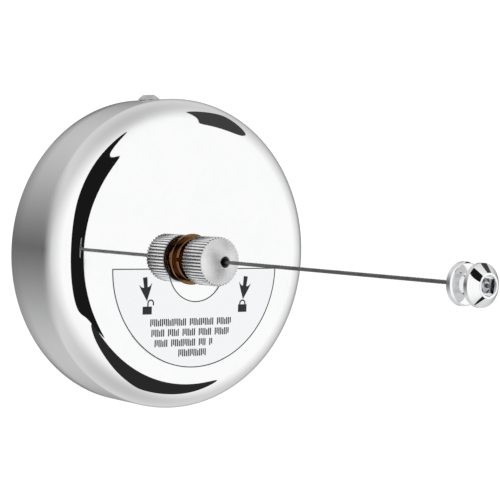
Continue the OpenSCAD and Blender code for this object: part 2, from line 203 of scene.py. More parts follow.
def add_loft(
    mesh: bmesh.types.BMesh,
    rings: Sequence[Ring],
    sides: int,
    closed: bool = True,
    pattern: Pattern = plain_pattern,
    place: Matrix | None = None,
) -> None:
    """Adds a skin through rings about the z axis.

    Args:
        mesh: the edit mesh to add to.
        rings: the rings in order; one of radius 0 is a single point.
        sides: points on each ring.
        closed: whether the last ring joins the first.
        pattern: 0 to 1 at an angle and depth, times each ring's relief.
        place: moves the new points, if given.
    """
    loops: list[list[bmesh.types.BMVert]] = []
    for ring in rings:
        if ring.radius <= 0:
            loops.append([mesh.verts.new((0, ring.rise, ring.depth))])
            continue
        loop = []
        for k in range(sides):
            angle = 2 * math.pi * k / sides
            radius = ring.radius - ring.relief * pattern(angle, ring.depth)
            loop.append(
                mesh.verts.new(
                    (radius * math.cos(angle), ring.rise + radius * math.sin(angle), ring.depth)
                )
            )
        loops.append(loop)
    pairs = list(zip(loops, loops[1:]))
    if closed:
        pairs.append((loops[-1], loops[0]))
    for a, b in pairs:
        for k in range(sides):
            n = (k + 1) % sides
            if len(a) == 1 and len(b) == 1:
                continue
            if len(a) == 1:
                mesh.faces.new((a[0], b[n], b[k]))
            elif len(b) == 1:
                mesh.faces.new((a[k], a[n], b[0]))
            else:
                mesh.faces.new((a[k], a[n], b[n], b[k]))
    if place is not None:
        bmesh.ops.transform(mesh, matrix=place, verts=[v for loop in loops for v in loop])


def turned(
    name: str,
    corners: Sequence[Corner],
    sides: int = 128,
    height: float = 0.0,
    place: Matrix = OUTWARDS,
    steps: int = 6,
) -> bpy.types.Object:
    """Makes a turned piece from a closed outline.

    Args:
        name: the piece's name.
        corners: the outline, in radius and depth.
        sides: points round the piece.
        height: height of its axis.
        place: from millimetres to the frame.
        steps: number of pieces in each rounded corner.

    Returns:
        The new object.
    """
    mesh = bmesh.new()
    add_loft(mesh, [Ring(r, d, rise=height) for r, d in rounded(corners, steps)], sides)
    return make_object(name, mesh, place)


def add_plate(
    mesh: bmesh.types.BMesh, outline: Sequence[Point2], near: float, far: float
) -> None:
    """Adds a flat plate with a straight edge all round.

    Args:
        mesh: the edit mesh to add to.
        outline: the plate's outline as (x, y).
        near: depth of its back.
        far: depth of its front.
    """
    back = [mesh.verts.new((x, y, near)) for x, y in outline]
    front = [mesh.verts.new((x, y, far)) for x, y in outline]
    triangles = tessellate_polygon([[Vector((x, y, 0)) for x, y in outline]])
    for a, b, c in triangles:
        mesh.faces.new((back[a], back[b], back[c]))
        mesh.faces.new((front[a], front[c], front[b]))
    for i in range(len(outline)):
        n = (i + 1) % len(outline)
        mesh.faces.new((back[i], back[n], front[n], front[i]))


def add_band(
    mesh: bmesh.types.BMesh,
    outer: Sequence[Point2],
    inner: Sequence[Point2],
    near: float,
    far: float,
) -> None:
    """Adds a flat closed band between two outlines that have as many points.

    Args:
        mesh: the edit mesh to add to.
        outer: the outer outline as (x, y).
        inner: the inner outline as (x, y).
        near: depth of its back.
        far: depth of its front.
    """
    loops = [
        [mesh.verts.new((x, y, z)) for x, y in outline]
        for outline, z in ((outer, near), (outer, far), (inner, far), (inner, near))
    ]
    for a, b in zip(loops, loops[1:] + loops[:1]):
        for i in range(len(outer)):
            n = (i + 1) % len(outer)
            mesh.faces.new((a[i], a[n], b[n], b[i]))


def arc_points(
    centre: Point2, radius: float, first: float, last: float, steps: int
) -> list[Point2]:
    """Points of an arc.

    Args:
        centre: the arc's centre.
        radius: its radius.
        first: the first angle, in degrees.
        last: the last angle, in degrees.
        steps: number of pieces.

    Returns:
        steps + 1 points.
    """
    angles = [math.radians(first + (last - first) * k / steps) for k in range(steps + 1)]
    return [(centre[0] + radius * math.cos(a), centre[1] + radius * math.sin(a)) for a in angles]


def curve_through(points: Sequence[Vector], steps: int, closed: bool = False) -> list[Vector]:
    """A smooth curve through points.

    Args:
        points: what the curve runs through.
        steps: points on the curve for each stretch.
        closed: whether the curve runs back to its start.

    Returns:
        The curve's points.
    """
    count = len(points)
    last = count if closed else count - 1
    curve: list[Vector] = []
    for i in range(last):
        p0, p1, p2, p3 = (
            points[(i + k) % count] if closed else points[min(max(i + k, 0), count - 1)]
            for k in (-1, 0, 1, 2)
        )
        for k in range(steps):
            t = k / steps
            curve.append(
                p1
                + (p2 - p0) * (t / 2)
                + (2 * p0 - 5 * p1 + 4 * p2 - p3) * (t * t / 2)
                + (3 * p1 - p0 - 3 * p2 + p3) * (t * t * t / 2)
            )
    if not closed:
        curve.append(points[-1].copy())
    return curve


def cut_away(piece: bpy.types.Object, cutters: Sequence[bpy.types.Object]) -> None:
    """Cuts shapes out of a piece and removes the shapes.

    Args:
        piece: what is cut.
        cutters: closed shapes to take away.
    """
    for cutter in cutters:
        modifier = piece.modifiers.new("cut", "BOOLEAN")
        modifier.operation = "DIFFERENCE"
        modifier.solver = "EXACT"
        modifier.object = cutter
    apply_modifiers(piece)
    for cutter in cutters:
        bpy.data.objects.remove(cutter)


def apply_modifiers(piece: bpy.types.Object) -> None:
    """Bakes a piece's modifiers into its mesh.

    Args:
        piece: the object to change.
    """
    graph = bpy.context.evaluated_depsgraph_get()
    baked = bpy.data.meshes.new_from_object(piece.evaluated_get(graph))
    piece.modifiers.clear()
    old = piece.data
    piece.data = baked
    baked.name = old.name
    bpy.data.meshes.remove(old)
    baked.shade_smooth()
    baked.set_sharp_from_angle(angle=SHARP_ANGLE)


def soften_edges(piece: bpy.types.Object, width: float) -> None:
    """Rounds a piece's sharp edges.

    Args:
        piece: the object to change.
        width: width of the rounding, in millimetres.
    """
    modifier = piece.modifiers.new("edges", "BEVEL")
    modifier.width = width * MM
    modifier.segments = 2
    modifier.limit_method = "ANGLE"
    modifier.angle_limit = math.radians(40)
    apply_modifiers(piece)


# ---------------------------------------------------------------- finishes


class Grain(Enum):
    """Which way a finish's fine marks run."""

    EVEN = "even"
    TURNED = "turned"
    DRAWN = "drawn"


class Graph:
    """Short forms for the nodes of one material."""

    def __init__(self, name: str) -> None:
        """Starts a material.

        Args:
            name: the material's name.
        """
        self.material = bpy.data.materials.get(name) or bpy.data.materials.new(name)
        self.material.use_nodes = True
        self.tree = self.material.node_tree
        self.shader = self.tree.nodes["Principled BSDF"]
        self.place = self.tree.nodes.new("ShaderNodeTexCoord").outputs["Object"]

    @classmethod
    def of(cls, material: bpy.types.Material) -> Graph:
        """The nodes of a material that is there already."""
        return cls(material.name)

    def link(self, value: bpy.types.NodeSocket, target: bpy.types.NodeSocket) -> None:
        """Links an output to an input."""
        self.tree.links.new(value, target)

    def math(self, kind: str, a: object, b: object = 0.0) -> bpy.types.NodeSocket:
        """Adds a maths node.

        Args:
            kind: the node's operation.
            a: a number or an output.
            b: a number or an output.

        Returns:
            The node's output.
        """
        node = self.tree.nodes.new("ShaderNodeMath")
        node.operation = kind
        for socket, value in zip(node.inputs, (a, b)):
            if isinstance(value, (int, float)):
                socket.default_value = value
            else:
                self.link(value, socket)
        return node.outputs[0]

    def split(self, place: bpy.types.NodeSocket) -> tuple[bpy.types.NodeSocket, ...]:
        """A place as its three numbers."""
        node = self.tree.nodes.new("ShaderNodeSeparateXYZ")
        self.link(place, node.inputs[0])
        return tuple(node.outputs)

    def axes(self) -> tuple[bpy.types.NodeSocket, ...]:
        """The place on the piece as its three numbers."""
        return self.split(self.place)

    def turned_place(self, height: float) -> bpy.types.NodeSocket:
        """The place as radius and depth about an axis at that height in metres."""
        x, y, z = self.axes()
        rise = self.math("SUBTRACT", z, height)
        square = self.math("ADD", self.math("MULTIPLY", x, x), self.math("MULTIPLY", rise, rise))
        node = self.tree.nodes.new("ShaderNodeCombineXYZ")
        self.link(self.math("SQRT", square), node.inputs[0])
        self.link(y, node.inputs[1])
        return node.outputs[0]

    def stretched(self, scale: Sequence[float]) -> bpy.types.NodeSocket:
        """The place with each axis scaled."""
        node = self.tree.nodes.new("ShaderNodeMapping")
        node.inputs["Scale"].default_value = scale
        self.link(self.place, node.inputs["Vector"])
        return node.outputs[0]

    def noise(
        self, scale: float, place: bpy.types.NodeSocket | None = None, detail: float = 4.0
    ) -> bpy.types.NodeSocket:
        """Adds a noise.

        Args:
            scale: its scale, per metre.
            place: where it is read, or the piece's own place.
            detail: its detail.

        Returns:
            Its value.
        """
        node = self.tree.nodes.new("ShaderNodeTexNoise")
        node.inputs["Scale"].default_value = scale
        node.inputs["Detail"].default_value = detail
        self.link(self.place if place is None else place, node.inputs["Vector"])
        return node.outputs[0]

    def ranged(
        self,
        value: bpy.types.NodeSocket,
        low: float,
        high: float,
        start: float = 0.3,
        end: float = 0.7,
    ) -> bpy.types.NodeSocket:
        """Maps a value from start..end to low..high.

        Args:
            value: the value to map.
            low: result at start.
            high: result at end.
            start: first value of the range.
            end: last value of the range.

        Returns:
            The mapped value.
        """
        node = self.tree.nodes.new("ShaderNodeMapRange")
        self.link(value, node.inputs["Value"])
        for name, number in (
            ("From Min", start),
            ("From Max", end),
            ("To Min", low),
            ("To Max", high),
        ):
            node.inputs[name].default_value = number
        return node.outputs[0]

    def blended(
        self, share: bpy.types.NodeSocket, first: Colour, second: Colour
    ) -> bpy.types.NodeSocket:
        """Blends two colours.

        Args:
            share: 0 for the first, 1 for the second.
            first: a colour.
            second: a colour.

        Returns:
            The blended colour.
        """
        node = self.tree.nodes.new("ShaderNodeMix")
        node.data_type = "RGBA"
        self.link(share, node.inputs[0])
        node.inputs[6].default_value = (*first, 1)
        node.inputs[7].default_value = (*second, 1)
        return node.outputs[2]

    def darkened(
        self, share: bpy.types.NodeSocket, first: bpy.types.NodeSocket, second: Colour
    ) -> bpy.types.NodeSocket:
        """Blends a colour of the surface into a plain one.

        Args:
            share: 0 for the first, 1 for the second.
            first: the surface's colour.
            second: a colour.

        Returns:
            The blended colour.
        """
        blended = self.blended(share, second, second)
        node = blended.node
        self.link(first, node.inputs[6])
        return blended

    def bump(self, height: bpy.types.NodeSocket, depth: float) -> None:
        """Adds a bump to the shader.

        Args:
            height: 0 to 1 over the surface.
            depth: height of the bump, in millimetres.
        """
        node = self.tree.nodes.new("ShaderNodeBump")
        node.inputs["Strength"].default_value = 1.0
        node.inputs["Distance"].default_value = depth * MM
        self.link(height, node.inputs["Height"])
        self.link(node.outputs[0], self.shader.inputs["Normal"])


@dataclass(frozen=True)
class Finish:
    """A surface finish with fine marks in its colour, gloss and relief."""

    name: str
    colour: Colour
    shade: Colour
    gloss: Point2
    metal: float = 0.0
    grain: Grain = Grain.EVEN
    grain_size: float = 0.6
    relief: float = 0.0
    coat: float = 0.0
    axis_height: float = 0.0

    def marks(self, graph: Graph) -> bpy.types.NodeSocket:
        """The finish's fine marks.

        Args:
            graph: the material's nodes.

        Returns:
            A noise that runs as the grain says.
        """
        scale = 1 / (self.grain_size * MM)
        if self.grain is Grain.TURNED:
            return graph.noise(scale, graph.turned_place(self.axis_height * MM))
        if self.grain is Grain.DRAWN:
            return graph.noise(scale, graph.stretched((1.0, 0.04, 1.0)))
        return graph.noise(scale)

    def roughness(self, graph: Graph, marks: bpy.types.NodeSocket) -> bpy.types.NodeSocket:
        """How rough the surface is.

        Args:
            graph: the material's nodes.
            marks: the fine marks.

        Returns:
            The roughness over the surface.
        """
        return graph.ranged(marks, *self.gloss)

    def material(self) -> bpy.types.Material:
        """Makes the material, or finds it if it is there already.

        Returns:
            The material.
        """
        made = bpy.data.materials.get(self.name)
        if made is not None:
            return made
        graph = Graph(self.name)
        marks = self.marks(graph)
        patches = graph.noise(1 / (PATCH_SIZE * MM), detail=3)
        share = graph.math("MULTIPLY", marks, graph.ranged(patches, 0.4, 1.0))
        graph.link(graph.blended(share, self.colour, self.shade), graph.shader.inputs["Base Color"])
        graph.link(self.roughness(graph, marks), graph.shader.inputs["Roughness"])
        graph.shader.inputs["Metallic"].default_value = self.metal
        graph.shader.inputs["Coat Weight"].default_value = self.coat
        graph.shader.inputs["Coat Roughness"].default_value = COAT_ROUGHNESS
        if self.relief > 0:
            graph.bump(marks, self.relief)
        return graph.material


@dataclass(frozen=True)
class CoverFinish(Finish):
    """Plated shell: a satin side wall that runs into a mirror front."""

    satin: Point2 = (0.11, 0.14)
    satin_end: float = 14.1
    mirror_start: float = 15.2
    line_size: float = 0.35
    haze_size: float = 14

    def roughness(self, graph: Graph, _marks: bpy.types.NodeSocket) -> bpy.types.NodeSocket:
        """Satin up to one depth and mirror from another.

        Args:
            graph: the material's nodes.
            _marks: the fine marks, which this finish leaves out.

        Returns:
            The roughness over the surface.
        """
        depth = graph.math("MULTIPLY", graph.axes()[1], -1.0)
        share = graph.ranged(depth, 0.0, 1.0, self.satin_end * MM, self.mirror_start * MM)
        lines = graph.noise(1 / (self.line_size * MM), graph.stretched((0.03, 1.0, 0.03)))
        satin = graph.ranged(lines, *self.satin)
        mirror = graph.ranged(graph.noise(1 / (self.haze_size * MM)), *self.gloss)
        difference = graph.math("SUBTRACT", mirror, satin)
        return graph.math("ADD", satin, graph.math("MULTIPLY", difference, share))


@dataclass(frozen=True)
class KnurledFinish(Finish):
    """Plating on a knurl, with painted shade darkening its grooves, and a soft satin front."""

    crest: float = 5.9
    root: float = 5.55
    # Colour of the painted shade laid into the knurl grooves
    painted_groove_shade: Colour = (0.1, 0.1, 0.105)
    front_start: float = 32.7
    front: Point2 = (0.5, 0.56)
    blend_depth: float = 0.1
    root_margin: float = 0.05
    crest_margin: float = 0.08

    def depth_share(self, graph: Graph) -> bpy.types.NodeSocket:
        """0 on the knurled part and 1 on the domed front."""
        depth = graph.math("MULTIPLY", graph.axes()[1], -1.0)
        end = self.front_start + self.blend_depth
        return graph.ranged(depth, 0.0, 1.0, self.front_start * MM, end * MM)

    def roughness(self, graph: Graph, marks: bpy.types.NodeSocket) -> bpy.types.NodeSocket:
        """Polished knurls and a satin front.

        Args:
            graph: the material's nodes.
            marks: the fine marks.

        Returns:
            The roughness over the surface.
        """
        knurls = graph.ranged(marks, *self.gloss)
        front = graph.ranged(marks, *self.front)
        difference = graph.math("SUBTRACT", front, knurls)
        return graph.math(
            "ADD", knurls, graph.math("MULTIPLY", difference, self.depth_share(graph))
        )

    def material(self) -> bpy.types.Material:
        """Makes the material with painted shade in its knurl grooves.

        Returns:
            The material.
        """
        made = bpy.data.materials.get(self.name)
        if made is not None:
            return made
        material = super().material()
        graph = Graph.of(material)
        colour = graph.shader.inputs["Base Color"]
        plated = colour.links[0].from_socket
        radius = graph.split(graph.turned_place(self.axis_height * MM))[0]
        low = (self.root + self.root_margin) * MM
        high = (self.crest - self.crest_margin) * MM
        # Painted shade: full at the groove roots, gone at the crests, on the knurled part only
        painted_groove_shade = graph.ranged(radius, 1.0, 0.0, low, high)
        knurled = graph.math("SUBTRACT", 1.0, self.depth_share(graph))
        share = graph.math("MULTIPLY", painted_groove_shade, knurled)
        graph.link(graph.darkened(share, plated, self.painted_groove_shade), colour)
        return material


LINE_HEIGHT = -1.0
MIRROR = (0.93, 0.93, 0.935)
MIRROR_SHADE = (0.88, 0.885, 0.895)
COVER_CHROME = CoverFinish(
    "plated_cover", MIRROR, MIRROR_SHADE, (0.012, 0.03), metal=1.0, grain_size=2.4
)
KNOB_CHROME = KnurledFinish(
    "satin_knob_plating", (0.97, 0.97, 0.97), (0.93, 0.93, 0.935), (0.24, 0.3), metal=1.0,
    grain_size=0.9, axis_height=LINE_HEIGHT,
)
END_CHROME = Finish(
    "polished_end_knob", MIRROR, MIRROR_SHADE, (0.02, 0.06), metal=1.0,
    grain=Grain.TURNED, grain_size=0.2, relief=0.0006, axis_height=LINE_HEIGHT,
)
SCREW_CHROME = Finish(
    "plated_screw", (0.74, 0.74, 0.75), (0.56, 0.56, 0.57), (0.06, 0.12), metal=1.0, relief=0.002
)
PLATE_STEEL = Finish(
    "rolled_plate", (0.62, 0.63, 0.65), (0.5, 0.51, 0.53), (0.28, 0.42), metal=1.0,
    grain=Grain.DRAWN, grain_size=0.3, relief=0.004,
)
SHEET_STEEL = Finish(
    "zinc_sheet", (0.6, 0.62, 0.66), (0.46, 0.48, 0.52), (0.25, 0.45), metal=1.0,
    grain_size=4.0, relief=0.006,
)
SCREW_STEEL = Finish(
    "zinc_screws", (0.68, 0.69, 0.72), (0.5, 0.51, 0.53), (0.25, 0.4), metal=1.0, relief=0.004
)
PIN_STEEL = Finish(
    "ground_pin", (0.7, 0.7, 0.71), (0.58, 0.58, 0.6), (0.12, 0.22), metal=1.0,
    grain=Grain.TURNED, grain_size=0.15, relief=0.001,
)
SPRING_STEEL = Finish(
    "blued_spring", (0.26, 0.3, 0.4), (0.16, 0.18, 0.26), (0.2, 0.34), metal=1.0,
    grain=Grain.DRAWN, grain_size=0.3, relief=0.002,
)
LINE_STEEL = Finish(
    "stranded_steel", (0.23, 0.23, 0.235), (0.12, 0.12, 0.125), (0.28, 0.42), metal=1.0,
    grain_size=0.3, relief=0.004,
)
# Colour far darker than bare brass: painted shade standing in for the dark gap behind the knob, given to
# every brass piece
BRASS = Finish(
    "turned_brass", (0.26, 0.13, 0.05), (0.1, 0.046, 0.018), (0.1, 0.18), metal=1.0,
    grain=Grain.TURNED, grain_size=0.22, relief=0.003, axis_height=LINE_HEIGHT,
)
BRONZE = Finish(
    "bronze", (0.55, 0.31, 0.14), (0.34, 0.18, 0.08), (0.25, 0.38), metal=1.0,
    grain=Grain.TURNED, grain_size=0.25, relief=0.003, axis_height=LINE_HEIGHT,
)
CERAMIC = Finish("glazed_ceramic", (0.86, 0.85, 0.82), (0.8, 0.79, 0.76), (0.1, 0.2), coat=0.5)
FRAME_PLASTIC = Finish(
    "moulded_chassis", (0.09, 0.092, 0.1), (0.06, 0.062, 0.068), (0.45, 0.6), relief=0.02
)
DRUM_PLASTIC = Finish(
    "natural_acetal", (0.78, 0.76, 0.69), (0.7, 0.68, 0.6), (0.38, 0.5), relief=0.01
)
ROLLER_PLASTIC = Finish(
    "white_acetal", (0.82, 0.82, 0.8), (0.75, 0.75, 0.73), (0.3, 0.42), relief=0.008
)
ARBOR_PLASTIC = Finish(
    "filled_nylon", (0.5, 0.4, 0.26), (0.42, 0.33, 0.2), (0.5, 0.62), relief=0.012
)
SLEEVE_PLASTIC = Finish(
    "tough_sleeve", (0.66, 0.6, 0.42), (0.56, 0.5, 0.33), (0.42, 0.55), relief=0.008
)
RUBBER = Finish("black_grommet", (0.012, 0.012, 0.013), (0.03, 0.03, 0.03), (0.5, 0.68), relief=0.01)
FOIL = Finish(
    "label_foil", MIRROR, MIRROR_SHADE, (0.03, 0.05), metal=1.0, grain_size=3.0
)
INK = Finish("label_ink", (0.008, 0.008, 0.009), (0.03, 0.03, 0.032), (0.42, 0.55), relief=0.002)


def finish_piece(
    piece: bpy.types.Object, finish: Finish, slot: str, body: str, *nodes: str
) -> bpy.types.Object:
    """Gives a piece its finish and body, and hides the nodes that it stands for.

    Args:
        piece: the new piece.
        finish: its finish.
        slot: name of a material slot; not used.
        body: the body it rides on.
        nodes: the nodes it stands for.

    Returns:
        The piece.
    """
    piece.data.materials.clear()
    piece.data.materials.append(finish.material())
    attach(piece, body)
    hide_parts(*nodes)
    LOG.info("%s rides on %s", piece.name, body)
    return piece


# ---------------------------------------------------------------- cover and wall plate


@dataclass
class Cover:
    """Drawn metal shell with a rounded front edge and a hole for the bush."""

    edge_radius: float = 7.2
    metal: float = 0.8
    hole_radius: float = 3.7
    rim_rounding: float = 0.3
    edge_steps: int = 56
    sides: int = 288
    span: Span = field(default_factory=lambda: Span.of("housing_cover"))

    def outer_rings(self) -> list[Ring]:
        """The outside, from the wall to the hole.

        Returns:
            Rings in order.
        """
        radius = self.span.radius
        depth = self.span.far
        turn = (radius - self.edge_radius, depth - self.edge_radius)
        arc = arc_points(turn, self.edge_radius, 0, 90, self.edge_steps)
        side = [Ring(radius, depth_share * turn[1]) for depth_share in (0.05, 0.35, 0.7, 0.985)]
        face = [Ring(turn[0] - inset, depth) for inset in (0.15, 0.5, 4.0)]
        hole = [
            Ring(self.hole_radius + gap, depth, rise=LINE_HEIGHT) for gap in (8.0, 1.5, 0.1)
        ]
        return side + [Ring(r, d) for r, d in arc] + face + hole

    def inner_rings(self) -> list[Ring]:
        """The inside, from the hole back to the wall.

        Returns:
            Rings in order.
        """
        radius = self.span.radius - self.metal
        depth = self.span.far - self.metal
        bend = self.edge_radius - self.metal
        arc = arc_points((radius - bend, depth - bend), bend, 90, 0, self.edge_steps // 4)
        hole = [
            Ring(self.hole_radius, depth + self.metal - 0.1, rise=LINE_HEIGHT),
            Ring(self.hole_radius, depth, rise=LINE_HEIGHT),
            Ring(self.hole_radius + 8, depth, rise=LINE_HEIGHT),
        ]
        rim = [Ring(radius, self.rim_rounding), Ring(radius + self.rim_rounding, 0.0)]
        outer_rim = [Ring(self.span.radius - self.rim_rounding, 0.0)]
        return hole + [Ring(r, d) for r, d in arc] + rim + outer_rim

    def build(self) -> None:
        """Builds the shell and dresses it."""
        mesh = bmesh.new()
        add_loft(mesh, self.outer_rings() + self.inner_rings(), self.sides)
        shell = make_object("cover_shell", mesh, OUTWARDS)
        finish_piece(shell, COVER_CHROME, "cover_chrome", "housing", "housing_cover")


@dataclass
class WallMount:
    """Wall plate with its lug, and the domed screw that holds the cover on it."""

    thickness: float = 1.6
    hole_span: float = 36.0
    hole_radius: float = 2.2
    sink_radius: float = 3.0
    sink_depth: float = 0.8
    lug: tuple[float, float, float] = (9.0, 3.4, 8.6)
    lug_top: float = 36.9
    screw_angle: float = 4.5
    screw_depth: float = 5.2
    head_radius: float = 2.65
    head_height: float = 1.5
    socket_radius: float = 0.9
    socket_floor: float = 0.6
    shank_radius: float = 1.45
    shank_length: float = 4.2
    span: Span = field(default_factory=lambda: Span.of("wall_plate"))

    def lug_piece(self) -> bpy.types.Object:
        """The tapped lug as a piece of its own.

        Returns:
            The lug, with its screw hole.
        """
        width, height, reach = self.lug
        bottom = self.lug_top - height
        mesh = bmesh.new()
        outline = [
            (-width / 2, bottom), (width / 2, bottom),
            (width / 2, self.lug_top), (-width / 2, self.lug_top),
        ]
        add_plate(mesh, outline, 0.3, reach)
        lean = OUTWARDS @ Matrix.Rotation(math.radians(self.screw_angle), 4, "Z")
        lug = make_object("plate_lug", mesh, lean)
        soften_edges(lug, 0.35)
        hole = bmesh.new()
        rings = [
            Ring(0, bottom - 1), Ring(self.shank_radius, bottom - 1),
            Ring(self.shank_radius, self.lug_top + 1), Ring(0, self.lug_top + 1),
        ]
        add_loft(hole, rings, 48, closed=False)
        rise = Matrix.Translation((0, 0, self.screw_depth)) @ Matrix.Rotation(-math.pi / 2, 4, "X")
        cut_away(lug, [make_object("cutter", hole, lean @ rise)])
        return lug

    def plate(self) -> bpy.types.Object:
        """The round plate with its two countersunk holes.

        Returns:
            The plate.
        """
        radius = self.span.radius
        plate = turned(
            "mount_plate",
            [
                Corner(0, 0), Corner(radius, 0, 0.2), Corner(radius, self.thickness, 0.45),
                Corner(0, self.thickness),
            ],
            sides=192,
        )
        cutters = []
        for side in (-1, 1):
            mesh = bmesh.new()
            sink = self.thickness - self.sink_depth
            rings = [
                Ring(0, -1), Ring(self.hole_radius, -1), Ring(self.hole_radius, sink),
                Ring(self.sink_radius, self.thickness), Ring(self.sink_radius, self.thickness + 1),
                Ring(0, self.thickness + 1),
            ]
            add_loft(mesh, rings, 64, closed=False)
            shift = Matrix.Translation((side * self.hole_span / 2, 0, 0))
            cutters.append(make_object("cutter", mesh, OUTWARDS @ shift))
        cut_away(plate, cutters)
        return plate

    def screw(self) -> bpy.types.Object:
        """The domed screw with its hexagon socket.

        Returns:
            The screw.
        """
        sag = self.head_height
        sphere = (self.head_radius**2 + sag**2) / (2 * sag)
        start = math.asin(self.head_radius / sphere)
        steps = 14
        dome = []
        for k in range(steps + 1):
            angle = start + (0.42 - start) * k / steps
            dome.append(Ring(sphere * math.sin(angle), sag - sphere + sphere * math.cos(angle)))
        mouth = self.socket_radius + 0.12
        mouth_height = dome[-1].depth + 0.02
        rings = [
            Ring(0, -self.shank_length), Ring(self.shank_radius - 0.3, -self.shank_length),
            Ring(self.shank_radius, 0.3 - self.shank_length), Ring(self.shank_radius, 0),
            Ring(self.head_radius - 0.1, 0), Ring(self.head_radius, 0.08),
            *dome[1:],
            Ring(mouth, mouth_height),
            Ring(self.socket_radius, mouth_height - 0.1, relief=self.socket_radius),
            Ring(self.socket_radius, self.socket_floor, relief=self.socket_radius),
            Ring(0, self.socket_floor - 0.2),
        ]
        mesh = bmesh.new()
        add_loft(mesh, rings, 96, closed=False, pattern=hexagon_pattern)
        lean = Matrix.Rotation(math.radians(self.screw_angle), 4, "Z")
        body_radius = Span.of("housing_cover").radius
        up = Matrix.Translation((0, body_radius, self.screw_depth))
        return make_object(
            "cover_screw", mesh, OUTWARDS @ lean @ up @ Matrix.Rotation(-math.pi / 2, 4, "X")
        )

    def build(self) -> None:
        """Builds the plate, its lug and the screw, and dresses them."""
        plate = self.plate()
        finish_piece(plate, PLATE_STEEL, "plate_steel", "housing", "wall_plate")
        finish_piece(self.lug_piece(), PLATE_STEEL, "plate_steel", "housing")
        finish_piece(self.screw(), SCREW_CHROME, "screw_chrome", "housing", "retaining_screw")


# ---------------------------------------------------------------- lock


@dataclass
class Lock:
    """Threaded bush with its washer and ring nut, and the knurled knob that turns on it."""

    bore: float = 2.5
    bore_floor: float = 22.0
    line_bore: float = 0.8
    thread_start: float = 23.0
    thread_pitch: float = 1.0
    thread_depth: float = 0.4
    bush_radius: float = 3.6
    flange_end: float = 19.9
    slot_width: float = 1.0
    slot_depth: float = 0.5
    knurls: int = 44
    knurl_depth: float = 0.35
    chamfer: float = 0.35
    dome_height: float = 2.3
    hole_radius: float = 1.3
    core_radius: float = 5.2
    core_end: float = 31.4
    cavity_radius: float = 3.6
    cavity_end: float = 32.7
    bush_span: Span = field(default_factory=lambda: Span.of("lock_bush"))
    washer_span: Span = field(default_factory=lambda: Span.of("bush_washer"))
    nut_span: Span = field(default_factory=lambda: Span.of("bush_nut"))
    knob_span: Span = field(default_factory=lambda: Span.of("knob_shell"))

    def thread(self, angle: float, depth: float) -> float:
        """A right-hand thread: 0 at its crests and 1 at its roots."""
        phase = (depth / self.thread_pitch - angle / (2 * math.pi)) % 1
        return min(1.0, max(0.0, 1.25 * (1 - abs(2 * phase - 1)) - 0.12))

    def knurl(self, angle: float, _depth: float) -> float:
        """Straight knurls with round ridges: 0 at a ridge and 1 between two."""
        return (1 - math.cos(self.knurls * angle)) / 2

    def bush(self) -> bpy.types.Object:
        """The threaded bush.

        Returns:
            The bush.
        """
        span = self.bush_span
        rise = span.height
        steps = round((span.far - 0.4 - self.thread_start) / 0.1)
        thread = [
            Ring(self.bush_radius, self.thread_start + 0.1 * k, self.thread_depth, rise)
            for k in range(steps + 1)
        ]
        outline = [
            (self.line_bore, span.near), (span.radius - 0.2, span.near),
            (span.radius, span.near + 0.2), (span.radius, self.flange_end - 0.1),
            (span.radius - 0.1, self.flange_end), (self.bush_radius, self.flange_end),
            (self.bush_radius, self.thread_start - 0.05),
        ]
        end = [
            (self.bush_radius - 0.4, span.far - 0.02), (self.bore + 0.15, span.far),
            (self.bore, span.far - 0.15), (self.bore, self.bore_floor),
            (self.line_bore, self.bore_floor),
        ]
        rings = [Ring(r, d, rise=rise) for r, d in outline] + thread
        rings += [Ring(r, d, rise=rise) for r, d in end]
        mesh = bmesh.new()
        add_loft(mesh, rings, 96, pattern=self.thread)
        return make_object("threaded_bush", mesh, OUTWARDS)

    def nut(self) -> bpy.types.Object:
        """The ring nut with two crossed slots.

        Returns:
            The nut.
        """
        span = self.nut_span
        inner = self.bush_radius + 0.02
        nut = turned(
            "ring_nut",
            [
                Corner(inner, span.near), Corner(span.radius, span.near, 0.1),
                Corner(span.radius, span.far, 0.35), Corner(inner, span.far, 0.15),
            ],
            height=span.height,
        )
        cutters = []
        for turn in (0, 90):
            mesh = bmesh.new()
            half = self.slot_width / 2
            outline = [(-9, -half), (9, -half), (9, half), (-9, half)]
            add_plate(mesh, outline, span.far - self.slot_depth, span.far + 1)
            place = Matrix.Translation((0, span.height, 0))
            place @= Matrix.Rotation(math.radians(turn), 4, "Z")
            cutters.append(make_object("cutter", mesh, OUTWARDS @ place))
        cut_away(nut, cutters)
        return nut

    def knob(self) -> bpy.types.Object:
        """The knurled knob with its domed front.

        Returns:
            The knob.
        """
        span = self.knob_span
        radius = span.radius
        root = radius - self.knurl_depth
        rim = span.far - self.dome_height
        dome_base = root - 0.1
        sphere = (dome_base**2 + self.dome_height**2) / (2 * self.dome_height)
        steep = math.asin(dome_base / sphere)
        steps = 30
        lip = math.asin((self.hole_radius + 0.22) / sphere)
        dome = []
        for k in range(steps + 1):
            angle = steep + (lip - steep) * k / steps
            dome.append((sphere * math.sin(angle), span.far - sphere + sphere * math.cos(angle)))
        top = dome[-1][1]
        knurled = [
            Ring(root, span.near, 0.0), Ring(radius - 0.12, span.near + 0.2, self.knurl_depth * 0.6),
            Ring(radius, span.near + self.chamfer, self.knurl_depth),
            Ring(radius, (span.near + rim) / 2, self.knurl_depth),
            Ring(radius, rim - 0.3, self.knurl_depth),
            Ring(radius - 0.1, rim - 0.08, self.knurl_depth * 0.85),
            Ring(radius - 0.2, rim, self.knurl_depth * 0.7),
        ]
        inside = [
            (self.hole_radius + 0.08, top - 0.02), (self.hole_radius, top - 0.16),
            (self.hole_radius, self.cavity_end), (self.cavity_radius, self.cavity_end),
            (self.cavity_radius, self.core_end), (self.core_radius, self.core_end),
            (self.core_radius, span.near),
        ]
        rings = [Ring(k.radius, k.depth, k.relief, span.height) for k in knurled]
        rings += [Ring(r, d, rise=span.height) for r, d in dome + inside]
        mesh = bmesh.new()
        add_loft(mesh, rings, self.knurls * 10, pattern=self.knurl)
        return make_object("lock_knob_shell", mesh, OUTWARDS)

